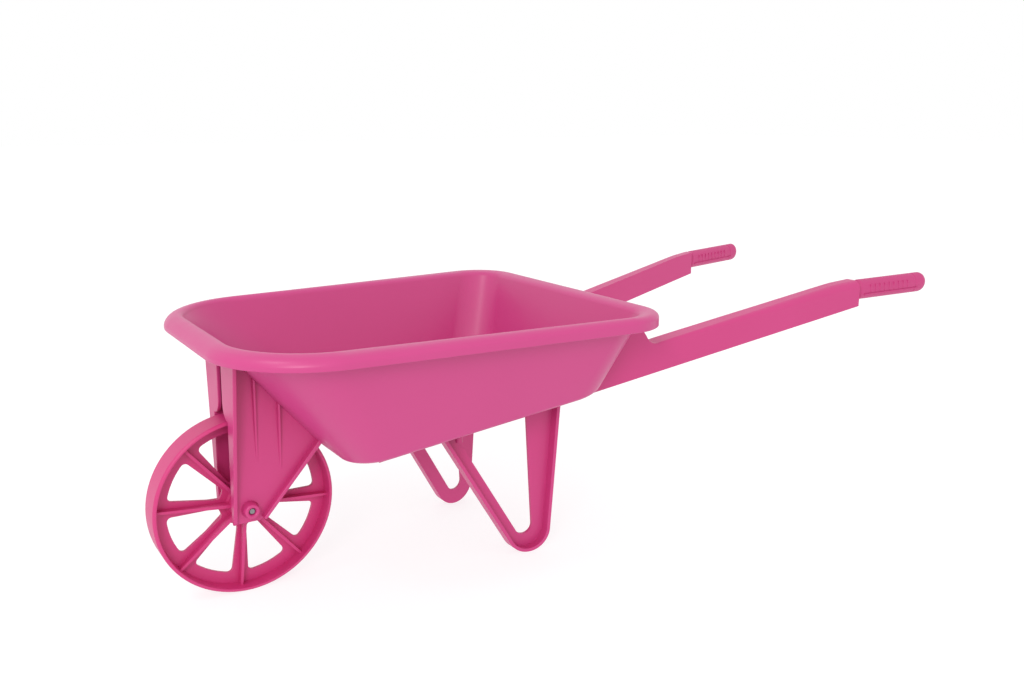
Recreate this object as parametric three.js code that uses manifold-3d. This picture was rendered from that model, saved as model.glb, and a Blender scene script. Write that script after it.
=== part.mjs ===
// A child's wheelbarrow in moulded plastic: a deep tub on two side frames, each one moulding of rail,
// V-shaped leg, gusset and handle beam, with a pair of fork brackets at the front that carry a spoked wheel.
// Units are millimetres. +X runs from the wheel to the handles, +Y to the pusher's right, +Z up.
// The pieces are laid out from the point on the ground under the axle; the last group moves the origin
// to the middle of the ground box.

import * as THREE from 'three';
import { mergeVertices } from 'three/addons/utils/BufferGeometryUtils.js';
import Module from 'manifold-3d';

const wasm = await Module();
wasm.setup();

// ---------- driving dimensions ----------

const gap = 0.3; // left between pieces that touch
const runningClearance = 0.09; // between the axle and the bore that turns on it

// wheel
const wheelRadius = 76.4;
const treadWidth = 27.4;
const treadThickness = 3;
const treadEdge = 1.2;
const webThickness = 3.2;
const hubRadius = 12.5;
const hubWidth = 32.6;
const spokeCount = 8;
const spokePhase = 5.3; // degrees the spokes stand turned from upright
const windowInnerRadius = 20.5;
const windowToTread = 14.6; // from the outside of the tread in to the windows
const spokeWidthAtHub = 7.2;
const spokeWidthAtRim = 14;
const windowCornerRadius = 4;
const spokeRibThickness = 2.4;
const spokeRibWidthAtHub = 21;
const spokeRibWidthAtRim = 15;

// axle and its push-on retainers
const axleRadius = 2.6;
const axleRecess = 1.8; // how far each end lies inside its boss
const retainerRadius = 5.2;
const retainerThickness = 0.9;

// fork brackets
const forkPlateInner = 18.2; // from the centre plane to the plate's inner face
const forkPlateThickness = 3;
const forkFront = 14.6; // front face, ahead of the axle
const forkLean = 0.019; // how much the front face falls back per millimetre of height
const forkBelowAxle = 11.6;
const flangeThickness = 3.2;
const forkSlotHalf = 5.5;
const frontFlangeLow = 24; // reach of the front flange from the centre plane, at its foot
const frontFlangeHigh = 41; // and at its top
const rearFlangeReach = 28;
const rearFlangeRise = 1.122; // slope of the inclined rear edge
const bossRadius = 6.8;
const bossReach = 29;
const forkRibs = [
  { x: 8.5, drop: 62 },
  { x: 28.3, drop: 53 },
]; // thin upright ribs on the plate, from the tub downwards
const forkRibProud = 3.4;
const forkRibThickness = 2;
const wheelToFork = 2.5; // room over the tread before the front flange widens inwards

// tub
const rimFront = -37.8;
const rimRear = 343.1;
const rimHalfFront = 142.6;
const rimHalfRear = 158.7;
const rimCornerFront = 81;
const rimCornerRear = 49.2;
const rimHeight = 228.4;
const lipDrop = 12;
const lipThickness = 2.6;
// top of the rolled rim, inwards from its outer edge, and how far it lies below the rim height
const lipTop = [
  { inward: 0, front: 9, rear: 3.8 },
  { inward: 1, front: 6.6, rear: 2.3 },
  { inward: 2, front: 4.9, rear: 1.4 },
  { inward: 4, front: 3.1, rear: 0.4 },
  { inward: 6, front: 1.8, rear: 0 },
  { inward: 9, front: 0.6, rear: 0.3 },
  { inward: 12, front: 0, rear: 0.9 },
  { inward: 14.6, front: 0.6, rear: 1.9 },
  { inward: 16.2, front: 1.9, rear: 3 },
];
// underside of the rolled rim, in rim thicknesses below its top
const lipUnder = [
  { inward: 12.6, thick: 1.03 },
  { inward: 8.9, thick: 1 },
  { inward: 5.2, thick: 1.1 },
  { inward: 3.4, thick: 1.25 },
];
const wallInset = 14.5; // from the outer edge to the outside of the wall
const wallTopDrop = 4;
const wallThickness = 3.1;
const floorFront = 67.2;
const floorRear = 303.2;
const floorHalfFront = 92.4;
const floorHalfRear = 120.5;
const floorCornerFront = 28;
const floorCornerRear = 37.5;
const floorHeightFront = 118.6;
const floorRise = 0.1608;
const floorThickness = 2.8;
const floorFillet = 6.4;

// side frames
const frameInnerAtAxle = 29.9; // inner face from the centre plane, carried forward to the axle
const frameSplay = 0.1441; // how much each frame spreads per millimetre towards the handles
const beamWidth = 16.9;
const beamHeight = 28;
const beamBottomAtAxle = 91.2;
const beamRise = 0.185;
const beamEnd = 607;
const beamEndFlat = 24; // last stretch, where the top levels off
const beamEndFlatRise = 0.11;
const beamWall = 2.6;
const railFront = 100;
const gussetFoot = 368;
const gussetLean = 0.683;
const gussetFilletRadius = 7;
const webSpacing = 47;
const webRibThickness = 2;

// legs
const legFrontTop = 159.1;
const legRearTop = 272.4;
const footCentre = 241.5;
const footRadius = 21.3;
const legPlateThickness = 3;
const legDepth = 10.5;
const legFlangeThickness = 3;
const legOpeningFront = 172.9;
const legOpeningRear = 243.1;
const legOpeningFootRadius = 8.7;
const legOpeningFootCentre = { x: 240.5, z: 23.7 };

// grips
const gripLength = 93.5;
const gripHeight = 20.6;
const gripWidth = 16.4;
const gripAxisRise = 0.026;
const gripAxisDrop = 9.7; // from the top of the beam's end to the grip's axis
const gripDome = 0.8; // length of the rounded end over half the height
const tongueLength = 26;
const tongueHeight = 12;
const tongueWidth = 10.4;
const tongueDrop = 5.4; // from the grip's axis to the tongue's

// self-tapping screws
const screwShankRadius = 1.6;
const screwHeadRadius = 3.5;
const screwHeadHeight = 2.3;
const screwClearance = 0.4;
const railScrews = [
  { x: 118, below: -2.9 },
  { x: 204, below: -2.9 },
  { x: 290, below: -2.9 },
]; // place along the rail, and how far the boss ends below the rail's edge
const railPeg = { x: 175.5, below: 8.6, radius: 3 };
const postRadius = 3.2;
const postLength = 5;
const postClearance = 0.5;
const railBossRadius = 5.4;
const railBossTipRadius = 3.8;
const forkScrews = [35, 62]; // along the front wall, from its top
const forkScrewBoss = { radius: 4.4, depth: 9 };

// ---------- materials ----------

const moulded = (hex) => new THREE.MeshStandardMaterial({ color: hex, roughness: 0.45, metalness: 0 });
const steel = () => new THREE.MeshStandardMaterial({ color: 0x9a9a9e, roughness: 0.35, metalness: 1 });
const tubPink = 0xd8508f;
const framePink = 0xd64d8a;
const wheelPink = 0xcf4284;

// ---------- solids ----------

function toSolid(geometry) {
  const plain = geometry.clone();
  for (const name of Object.keys(plain.attributes)) {
    if (name !== 'position') plain.deleteAttribute(name);
  }
  const merged = mergeVertices(plain, 1e-4);
  return new wasm.Manifold(new wasm.Mesh({
    numProp: 3,
    vertProperties: new Float32Array(merged.attributes.position.array),
    triVerts: new Uint32Array(merged.index.array),
  }));
}

function toGeometry(solid) {
  const mesh = solid.getMesh();
  const geometry = new THREE.BufferGeometry();
  geometry.setAttribute('position', new THREE.BufferAttribute(new Float32Array(mesh.vertProperties), 3));
  geometry.setIndex(new THREE.BufferAttribute(new Uint32Array(mesh.triVerts), 1));
  geometry.computeVertexNormals();
  return geometry;
}

const join = (...solids) => solids.reduce((whole, solid) => whole.add(solid));
const cut = (solid, ...tools) => tools.reduce((whole, tool) => whole.subtract(tool), solid);
const moved = (geometry, x, y, z) => geometry.translate(x, y, z);

// The other side's twin of a solid.
const mirrored = (solid) => solid.mirror([0, 1, 0]);

// An outline of [x, z] points, as a slab between two distances from the centre plane, on the +Y side.
function slab(outline, yLow, yHigh, holes = []) {
  const shape = new THREE.Shape(outline.map(([x, z]) => new THREE.Vector2(x, z)));
  for (const hole of holes) {
    shape.holes.push(new THREE.Path(hole.map(([x, z]) => new THREE.Vector2(x, z))));
  }
  const geometry = new THREE.ExtrudeGeometry(shape, { depth: yHigh - yLow, bevelEnabled: false });
  geometry.rotateX(Math.PI / 2);
  return toSolid(moved(geometry, 0, yHigh, 0));
}

function rod(radius, from, to, segments = 16) {
  const start = new THREE.Vector3(...from);
  const along = new THREE.Vector3(...to).sub(start);
  const geometry = new THREE.CylinderGeometry(radius, radius, along.length(), segments);
  geometry.translate(0, along.length() / 2, 0);
  geometry.applyQuaternion(new THREE.Quaternion().setFromUnitVectors(
    new THREE.Vector3(0, 1, 0), along.clone().normalize()));
  return toSolid(geometry.translate(start.x, start.y, start.z));
}

function box(xLow, xHigh, yLow, yHigh, zLow, zHigh) {
  const geometry = new THREE.BoxGeometry(xHigh - xLow, yHigh - yLow, zHigh - zLow);
  return toSolid(moved(geometry, (xLow + xHigh) / 2, (yLow + yHigh) / 2, (zLow + zHigh) / 2));
}

// Moves each edge of a closed outline inwards by its own distance. The outline runs anticlockwise.
function inset(outline, distances) {
  const count = outline.length;
  const lines = outline.map(([x, z], i) => {
    const [nextX, nextZ] = outline[(i + 1) % count];
    const length = Math.hypot(nextX - x, nextZ - z);
    const normal = [-(nextZ - z) / length, (nextX - x) / length];
    const distance = Array.isArray(distances) ? distances[i] : distances;
    return { point: [x + normal[0] * distance, z + normal[1] * distance], normal };
  });
  return outline.map((_, i) => {
    const before = lines[(i + count - 1) % count];
    const after = lines[i];
    const turn = before.normal[0] * after.normal[1] - before.normal[1] * after.normal[0];
    if (Math.abs(turn) < 1e-6) return after.point;
    const a = before.normal[0] * before.point[0] + before.normal[1] * before.point[1];
    const b = after.normal[0] * after.point[0] + after.normal[1] * after.point[1];
    return [
      (a * after.normal[1] - b * before.normal[1]) / turn,
      (b * before.normal[0] - a * after.normal[0]) / turn,
    ];
  });
}

function arc(centreX, centreZ, radius, from, to, steps) {
  return Array.from({ length: steps + 1 }, (_, i) => {
    const angle = from + ((to - from) * i) / steps;
    return [centreX + radius * Math.cos(angle), centreZ + radius * Math.sin(angle)];
  });
}

// Direction from a circle's centre to the point where a line from an outside point touches it.
function touchAngle(point, centreX, centreZ, radius, side) {
  const toPoint = Math.atan2(point[1] - centreZ, point[0] - centreX);
  const reach = Math.hypot(point[0] - centreX, point[1] - centreZ);
  return toPoint + side * Math.acos(radius / reach);
}

// ---------- shared lines ----------

const axleHeight = wheelRadius;
const gripTip = beamEnd + gripLength;
const floorZ = (x) => floorHeightFront + floorRise * (x - floorFront); // underside of the tub floor
const beamBottomZ = (x) => beamBottomAtAxle + beamRise * x;
const beamTopZ = (x) => beamBottomZ(x) + beamHeight;
const beamEndTopZ = beamTopZ(beamEnd - beamEndFlat) + beamEndFlat * beamEndFlatRise;
const gripAxisZ = beamEndTopZ - gripAxisDrop;
const tongueZ = gripAxisZ - tongueDrop;
const frameInnerY = (x) => frameInnerAtAxle + frameSplay * x;
const frameMiddleY = (x) => frameInnerY(x) + beamWidth / 2;

// The outside of the tub's front wall, seen from the side, from its top to the floor's front edge.
const frontWall = {
  top: new THREE.Vector2(rimFront + wallInset, rimHeight - wallTopDrop),
  foot: new THREE.Vector2(floorFront, floorHeightFront),
};
frontWall.along = frontWall.foot.clone().sub(frontWall.top).normalize();
frontWall.out = new THREE.Vector2(frontWall.along.y, -frontWall.along.x);
const frontWallX = (z) => frontWall.top.x + (frontWall.top.y - z) * (frontWall.along.x / -frontWall.along.y);
const frontWallZ = (x) => frontWall.top.y + (x - frontWall.top.x) * (frontWall.along.y / frontWall.along.x);

const rearWallTop = { x: rimRear - wallInset, z: rimHeight - wallTopDrop };
const rearWallLean = (rearWallTop.x - floorRear) / (rearWallTop.z - floorZ(floorRear));
const rearWallX = (z) => floorRear + (z - floorZ(floorRear)) * rearWallLean;

// Leans a solid of the +Y side outwards with the frames' splay.
const splay = (solid) => solid.transform([1, frameSplay, 0, 0, 0, 1, 0, 0, 0, 0, 1, 0, 0, 0, 0, 1]);

// ---------- tub ----------

const cornerSteps = 7;

// A level of the tub: a rounded trapezium, moved inwards by an amount, as a loop of points.
function level(edges, inward, heightAt) {
  const loop = [];
  const corners = [
    [edges.rear, edges.halfRear, edges.cornerRear, 1, 1],
    [edges.front, edges.halfFront, edges.cornerFront, -1, 1],
    [edges.front, edges.halfFront, edges.cornerFront, -1, -1],
    [edges.rear, edges.halfRear, edges.cornerRear, 1, -1],
  ];
  corners.forEach(([x, half, corner, sideX, sideY], quarter) => {
    const radius = corner - inward;
    const centreX = x - sideX * corner;
    const centreY = sideY * (half - corner);
    for (let i = 0; i <= cornerSteps; i++) {
      const angle = (Math.PI / 2) * (quarter + i / cornerSteps);
      const px = centreX + radius * Math.cos(angle);
      loop.push(new THREE.Vector3(px, centreY + radius * Math.sin(angle), heightAt(px)));
    }
  });
  return loop;
}

const rimEdges = {
  front: rimFront, rear: rimRear, halfFront: rimHalfFront, halfRear: rimHalfRear,
  cornerFront: rimCornerFront, cornerRear: rimCornerRear,
};
const floorEdges = {
  front: floorFront, rear: floorRear, halfFront: floorHalfFront, halfRear: floorHalfRear,
  cornerFront: floorCornerFront, cornerRear: floorCornerRear,
};
// A level of the rim, with its drops below the rim height at the front and at the rear of the tub.
function rimLevel(inward, dropFront, dropRear = dropFront) {
  const fall = (dropRear - dropFront) / (rimRear - rimFront);
  return level(rimEdges, inward, (x) => rimHeight - dropFront - fall * (x - rimFront));
}

// How far the top of the rim lies below the rim height, at one end of the tub.
function lipTopDrop(inward, end) {
  const after = lipTop.findIndex((row) => row.inward >= inward);
  if (after === 0) return lipTop[0][end];
  const [from, to] = [lipTop[after - 1], lipTop[after]];
  return from[end] + ((to[end] - from[end]) * (inward - from.inward)) / (to.inward - from.inward);
}

const floorLevel = (inward, lift) => level(floorEdges, inward, (x) => floorZ(x) + lift);

// The rounded turn from a wall into the floor.
function wallToFloor(wallTop, inward, lift, fillet) {
  const corner = floorLevel(inward, lift);
  const onFloor = floorLevel(inward + fillet, lift);
  const onWall = corner.map((p, i) => p.clone().add(wallTop[i].clone().sub(p).setLength(fillet)));
  return [0, 0.25, 0.5, 0.75, 1].map((t) => corner.map((p, i) => onWall[i].clone().multiplyScalar((1 - t) ** 2)
    .addScaledVector(p, 2 * t * (1 - t)).addScaledVector(onFloor[i], t * t)));
}

function closedLoops(loops) {
  const size = loops[0].length;
  const points = loops.flat();
  const faces = [];
  for (let ring = 0; ring + 1 < loops.length; ring++) {
    for (let i = 0; i < size; i++) {
      const a = ring * size + i;
      const b = ring * size + ((i + 1) % size);
      faces.push(a, b, b + size, a, b + size, a + size);
    }
  }
  const cap = (first, flip) => {
    const ring = points.slice(first, first + size);
    const centre = ring.reduce((sum, p) => sum.add(p), new THREE.Vector3()).divideScalar(size);
    const hub = points.push(centre) - 1;
    for (let i = 0; i < size; i++) {
      const a = first + i;
      const b = first + ((i + 1) % size);
      faces.push(...(flip ? [hub, b, a] : [hub, a, b]));
    }
  };
  cap(0, true);
  cap((loops.length - 1) * size, false);
  const geometry = new THREE.BufferGeometry().setFromPoints(points);
  geometry.setIndex(faces);
  return geometry;
}

function makeTub() {
  const outerTop = rimLevel(wallInset, wallTopDrop);
  const innerTop = rimLevel(wallInset + wallThickness, wallTopDrop + 0.6);
  const below = (inward, thick) => rimLevel(inward,
    lipTopDrop(inward, 'front') + thick * lipThickness, lipTopDrop(inward, 'rear') + thick * lipThickness);
  const underside = [
    ...lipUnder.map(({ inward, thick }) => below(inward, thick)),
    below(lipThickness, 1.6),
    rimLevel(lipThickness, lipDrop),
  ];
  const top = [rimLevel(0, lipDrop), ...lipTop.map(({ inward, front, rear }) => rimLevel(inward, front, rear))];
  const outerTurn = wallToFloor(outerTop, 0, 0, floorFillet);
  const innerTurn = wallToFloor(innerTop, wallThickness, floorThickness, floorFillet);
  const loops = [...outerTurn.reverse(), outerTop, ...underside, ...top, innerTop, ...innerTurn];
  let tub = toSolid(closedLoops(loops));
  for (const side of [-1, 1]) {
    for (const { x } of railScrews) {
      const y = side * frameMiddleY(x);
      const foot = floorZ(x) - postLength;
      tub = tub.add(rod(postRadius, [x, y, foot], [x, y, floorZ(x) + floorThickness / 2]));
      tub = tub.subtract(rod(screwShankRadius + gap, [x, y, foot - 1], [x, y, floorZ(x) + 0.4], 12));
    }
    for (const place of forkScrews) {
      const at = forkScrewAt(place, side);
      tub = tub.subtract(rod(screwShankRadius + screwClearance, at(-4), at(12), 12));
    }
  }
  return tub;
}

// ---------- fork brackets ----------

const forkScrewY = (forkSlotHalf + forkPlateInner) / 2;

// Points on a fork screw's line: the distance runs into the tub from the outside of its front wall.
function forkScrewAt(place, side) {
  return (inward) => {
    const x = frontWall.top.x + frontWall.along.x * place - frontWall.out.x * inward;
    const z = frontWall.top.y + frontWall.along.y * place - frontWall.out.y * inward;
    return [x, side * forkScrewY, z];
  };
}

// Thickness of the front wall, square to its outside, at a distance from its top.
function frontWallDepth(place) {
  const innerTop = new THREE.Vector2(frontWall.top.x + wallThickness, frontWall.top.y - 0.6);
  const innerFoot = new THREE.Vector2(
    floorFront + wallThickness, floorZ(floorFront + wallThickness) + floorThickness);
  const share = place / frontWall.top.distanceTo(frontWall.foot);
  return innerTop.lerp(innerFoot, share).sub(frontWall.top).dot(frontWall.out.clone().negate());
}

function makeFork() {
  const low = axleHeight - forkBelowAxle;
  const high = frontWallZ(-forkFront);
  const plateOuter = forkPlateInner + forkPlateThickness;
  const frontX = (z) => -forkFront + forkLean * (z - axleHeight);
  const heel = 10; // where the rear edge leaves the foot, behind the axle
  const rearEdgeX = (z) => heel + (z - low) / rearFlangeRise;
  // the rear edge meets the front wall where both lines agree
  const wallSlope = frontWall.along.y / frontWall.along.x;
  const meetX = (frontWall.top.y - wallSlope * frontWall.top.x - low + rearFlangeRise * heel)
    / (rearFlangeRise - wallSlope);
  const meetZ = frontWallZ(meetX);
  const plate = slab([
    [frontX(low + 3), low + 3], [frontX(low) + 3, low], [heel - 2, low], [heel + 1.5, low + 2],
    [meetX, meetZ], [frontX(high), high],
  ], forkPlateInner, plateOuter);

  // front flange, an upright strip that widens upwards and, above the tread, inwards too
  const behindFlange = forkFront - flangeThickness;
  const overTread = axleHeight + Math.sqrt(wheelRadius ** 2 - behindFlange ** 2) + wheelToFork;
  const flangeShape = new THREE.Shape([
    [forkPlateInner, low + 3], [forkPlateInner + 3, low], [frontFlangeLow - 2, low],
    [frontFlangeLow, low + 2], [frontFlangeHigh, high + 6], [forkSlotHalf, high + 6],
    [forkSlotHalf, overTread + 8], [forkSlotHalf + 2.5, overTread + 2], [forkSlotHalf + 8, overTread],
    [forkPlateInner, overTread],
  ].map(([y, z]) => new THREE.Vector2(y, z)));
  const flangeGeometry = new THREE.ExtrudeGeometry(flangeShape, { depth: flangeThickness, bevelEnabled: false });
  flangeGeometry.applyMatrix4(new THREE.Matrix4().set(
    0, forkLean, 1, frontX(0), 1, 0, 0, 0, 0, 1, 0, 0, 0, 0, 0, 1));
  const frontFlange = toSolid(flangeGeometry);

  const across = flangeThickness * Math.hypot(1, rearFlangeRise);
  const rearFlange = slab([
    [heel + 1.5, low + 2], [meetX, meetZ], [meetX - 2, meetZ + across], [heel - 1, low + across - 1],
  ], forkPlateInner, rearFlangeReach);

  const boss = rod(bossRadius, [0, forkPlateInner, axleHeight], [0, bossReach, axleHeight], 28);
  const ribs = forkRibs.map(({ x, drop }) => {
    const top = frontWallZ(x);
    const geometry = new THREE.ExtrudeGeometry(new THREE.Shape([
      new THREE.Vector2(forkPlateInner + 1, top - drop), new THREE.Vector2(plateOuter, top - drop),
      new THREE.Vector2(plateOuter + forkRibProud, top), new THREE.Vector2(forkPlateInner + 1, top),
    ]), { depth: forkRibThickness, bevelEnabled: false });
    geometry.applyMatrix4(new THREE.Matrix4().set(
      0, 0, 1, x - forkRibThickness / 2, 1, 0, 0, 0, 0, 1, 0, 0, 0, 0, 0, 1));
    return toSolid(geometry);
  });

  // inner strip along the front wall, with a boss behind each screw
  const lastScrew = forkScrews[forkScrews.length - 1];
  const stripEnd = lastScrew + forkScrewBoss.radius + 4;
  const wallPoint = (place, outward) => [
    frontWall.top.x + frontWall.along.x * place + frontWall.out.x * outward,
    frontWall.top.y + frontWall.along.y * place + frontWall.out.y * outward,
  ];
  const strip = slab([
    wallPoint(12, -2), wallPoint(12, flangeThickness), wallPoint(stripEnd, flangeThickness), wallPoint(stripEnd, -2),
  ], forkSlotHalf, forkPlateInner + 1);
  const bosses = forkScrews.map((place) => {
    const at = forkScrewAt(place, 1);
    return rod(forkScrewBoss.radius, at(2), at(-forkScrewBoss.depth));
  });

  // everything stops at the front wall
  const beyondWall = slab([
    wallPoint(-60, gap), wallPoint(200, gap), wallPoint(200, -80), wallPoint(-60, -80),
  ], 0, 90);
  const aheadOfFork = slab([
    [-forkFront - 60, 0], [frontX(0), 0], [frontX(300), 300], [-forkFront - 60, 300],
  ], -1, 90);
  const axleHole = rod(axleRadius + gap, [0, 0, axleHeight], [0, 60, axleHeight], 24);
  const screwHoles = forkScrews.map((place) => {
    const at = forkScrewAt(place, 1);
    return rod(screwShankRadius + gap, at(2), at(-forkScrewBoss.depth + 1.4), 16);
  });
  return cut(join(plate, frontFlange, rearFlange, boss, ...ribs, strip, ...bosses),
    beyondWall, aheadOfFork, axleHole, ...screwHoles);
}

// ---------- side frames ----------

function frameOutline() {
  const underLip = rimHeight - wallTopDrop - gap;
  const insideLip = rimRear - lipThickness - gap - 0.4;
  const belowLip = rimHeight - lipDrop - 2.4;
  const footZ = beamTopZ(gussetFoot);
  const gussetX = (z) => gussetFoot - gussetLean * (z - footZ);
  const flatFrom = beamEnd - beamEndFlat;
  // fillet between the gusset's edge and the beam's top
  const edgeAngle = Math.atan2(1, -gussetLean);
  const topAngle = Math.atan(beamRise);
  const half = (edgeAngle - topAngle) / 2;
  const reach = gussetFilletRadius / Math.sin(half);
  const centre = [
    gussetFoot + reach * Math.cos(topAngle + half),
    footZ + reach * Math.sin(topAngle + half),
  ];
  const fillet = arc(centre[0], centre[1], gussetFilletRadius, topAngle - Math.PI / 2 + 2 * Math.PI,
    edgeAngle + Math.PI / 2, 6);
  const wallGap = gap * Math.hypot(1, rearWallLean);
  return [
    [railFront, beamBottomZ(railFront)],
    [beamEnd, beamBottomZ(beamEnd)],
    [beamEnd, beamEndTopZ],
    [flatFrom, beamTopZ(flatFrom)],
    ...fillet,
    [gussetX(belowLip), belowLip],
    [insideLip, belowLip],
    [insideLip, underLip - 2.6],
    [insideLip - 3.2, underLip],
    [rearWallX(underLip) + wallGap, underLip],
    [floorRear + wallGap, floorZ(floorRear) - gap],
    [railFront, floorZ(railFront) - gap],
  ];
}

function legShape() {
  const front = [legFrontTop, beamBottomZ(legFrontTop)];
  const rear = [legRearTop, beamBottomZ(legRearTop)];
  const start = touchAngle(front, footCentre, footRadius, footRadius, 1);
  const end = touchAngle(rear, footCentre, footRadius, footRadius, -1);
  const foot = arc(footCentre, footRadius, footRadius, start, end + 2 * Math.PI, 16);
  const above = 6; // how far the leg runs up inside the rail
  const outline = [...foot, rear, [legRearTop, rear[1] + above], [legFrontTop, front[1] + above], front];
  const { x, z } = legOpeningFootCentre;
  const openFront = [legOpeningFront, beamBottomZ(legOpeningFront)];
  const openRear = [legOpeningRear, beamBottomZ(legOpeningRear)];
  const openStart = touchAngle(openFront, x, z, legOpeningFootRadius, 1);
  const openEnd = touchAngle(openRear, x, z, legOpeningFootRadius, -1);
  const opening = [
    ...arc(x, z, legOpeningFootRadius, openStart, openEnd + 2 * Math.PI, 10), openRear, openFront,
  ];
  return { outline, opening, footPoints: foot.length };
}

function makeSideFrame() {
  const outline = frameOutline();
  const outerY = frameInnerAtAxle + beamWidth;
  const skin = slab(outline, frameInnerAtAxle, outerY);

  // the frame is a channel, open below, with cross webs
  const edges = outline.map((_, i) => (i === 0 ? -6 : beamWall));
  const hollow = slab(inset(outline, edges), frameInnerAtAxle + beamWall, outerY - beamWall);
  const webs = [legFrontTop + 3, legRearTop - 3, 322];
  for (let x = 322 + webSpacing; x < beamEnd - tongueLength - 14; x += webSpacing) webs.push(x);
  const webSlabs = webs.map((x) => box(x - webRibThickness / 2, x + webRibThickness / 2,
    frameInnerAtAxle + 1, outerY - 1, beamBottomZ(x) + 1.5, 300));
  const cavity = cut(hollow, ...webSlabs);
  let frame = cut(skin, cavity);

  // leg: a flat plate with a flange round its outer edge
  const { outline: legOutline, opening, footPoints } = legShape();
  const legPlate = slab(legOutline, frameInnerAtAxle, frameInnerAtAxle + legPlateThickness, [opening]);
  const rimEdge = legOutline.map((_, i) => {
    const flanged = i < footPoints + 1 || i >= legOutline.length - 2;
    return flanged ? legFlangeThickness : -1;
  });
  const legRim = cut(
    slab(legOutline, frameInnerAtAxle, frameInnerAtAxle + legDepth),
    slab(inset(legOutline, rimEdge), frameInnerAtAxle - 1, frameInnerAtAxle + legDepth + 1));
  frame = join(frame, legPlate, legRim);

  // window in the beam's end for the grip's tongue
  const tongueMiddle = frameInnerAtAxle + beamWidth / 2;
  frame = cut(frame, box(beamEnd - tongueLength - 2, beamEnd + 5,
    tongueMiddle - tongueWidth / 2 - gap, tongueMiddle + tongueWidth / 2 + gap,
    tongueZ - tongueHeight / 2 - 2 * gap, tongueZ + tongueHeight / 2 + gap));
  frame = splay(frame);

  // stubby peg that stands out below the rail
  const pegY = frameMiddleY(railPeg.x);
  frame = join(frame, rod(railPeg.radius, [railPeg.x, pegY, beamBottomZ(railPeg.x) - railPeg.below],
    [railPeg.x, pegY, floorZ(railPeg.x) - gap - beamWall / 2], 20));

  // screw bosses that take the tub's posts
  for (const { x, below } of railScrews) {
    const y = frameMiddleY(x);
    const end = beamBottomZ(x) - below;
    const postFoot = floorZ(x) - postLength;
    const topCut = slab([
      [x - 20, floorZ(x - 20) - gap], [x + 20, floorZ(x + 20) - gap], [x + 20, 300], [x - 20, 300],
    ], 0, 200);
    const boss = join(
      rod(railBossRadius, [x, y, Math.min(postFoot - 2, end + 1)], [x, y, floorZ(x) + 2], 20),
      rod(railBossTipRadius, [x, y, end], [x, y, floorZ(x)], 20));
    const shaped = below < 0 ? boss.subtract(box(x - 9, x + 9, y - 9, y + 9, end - 12, end)) : boss;
    frame = join(frame, cut(shaped, topCut));
    frame = cut(frame,
      rod(postRadius + postClearance, [x, y, postFoot - postClearance], [x, y, floorZ(x) + 6], 16),
      rod(screwShankRadius + screwClearance, [x, y, end - 20], [x, y, floorZ(x)], 12));
  }
  return frame;
}

// ---------- wheel and axle ----------

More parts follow.
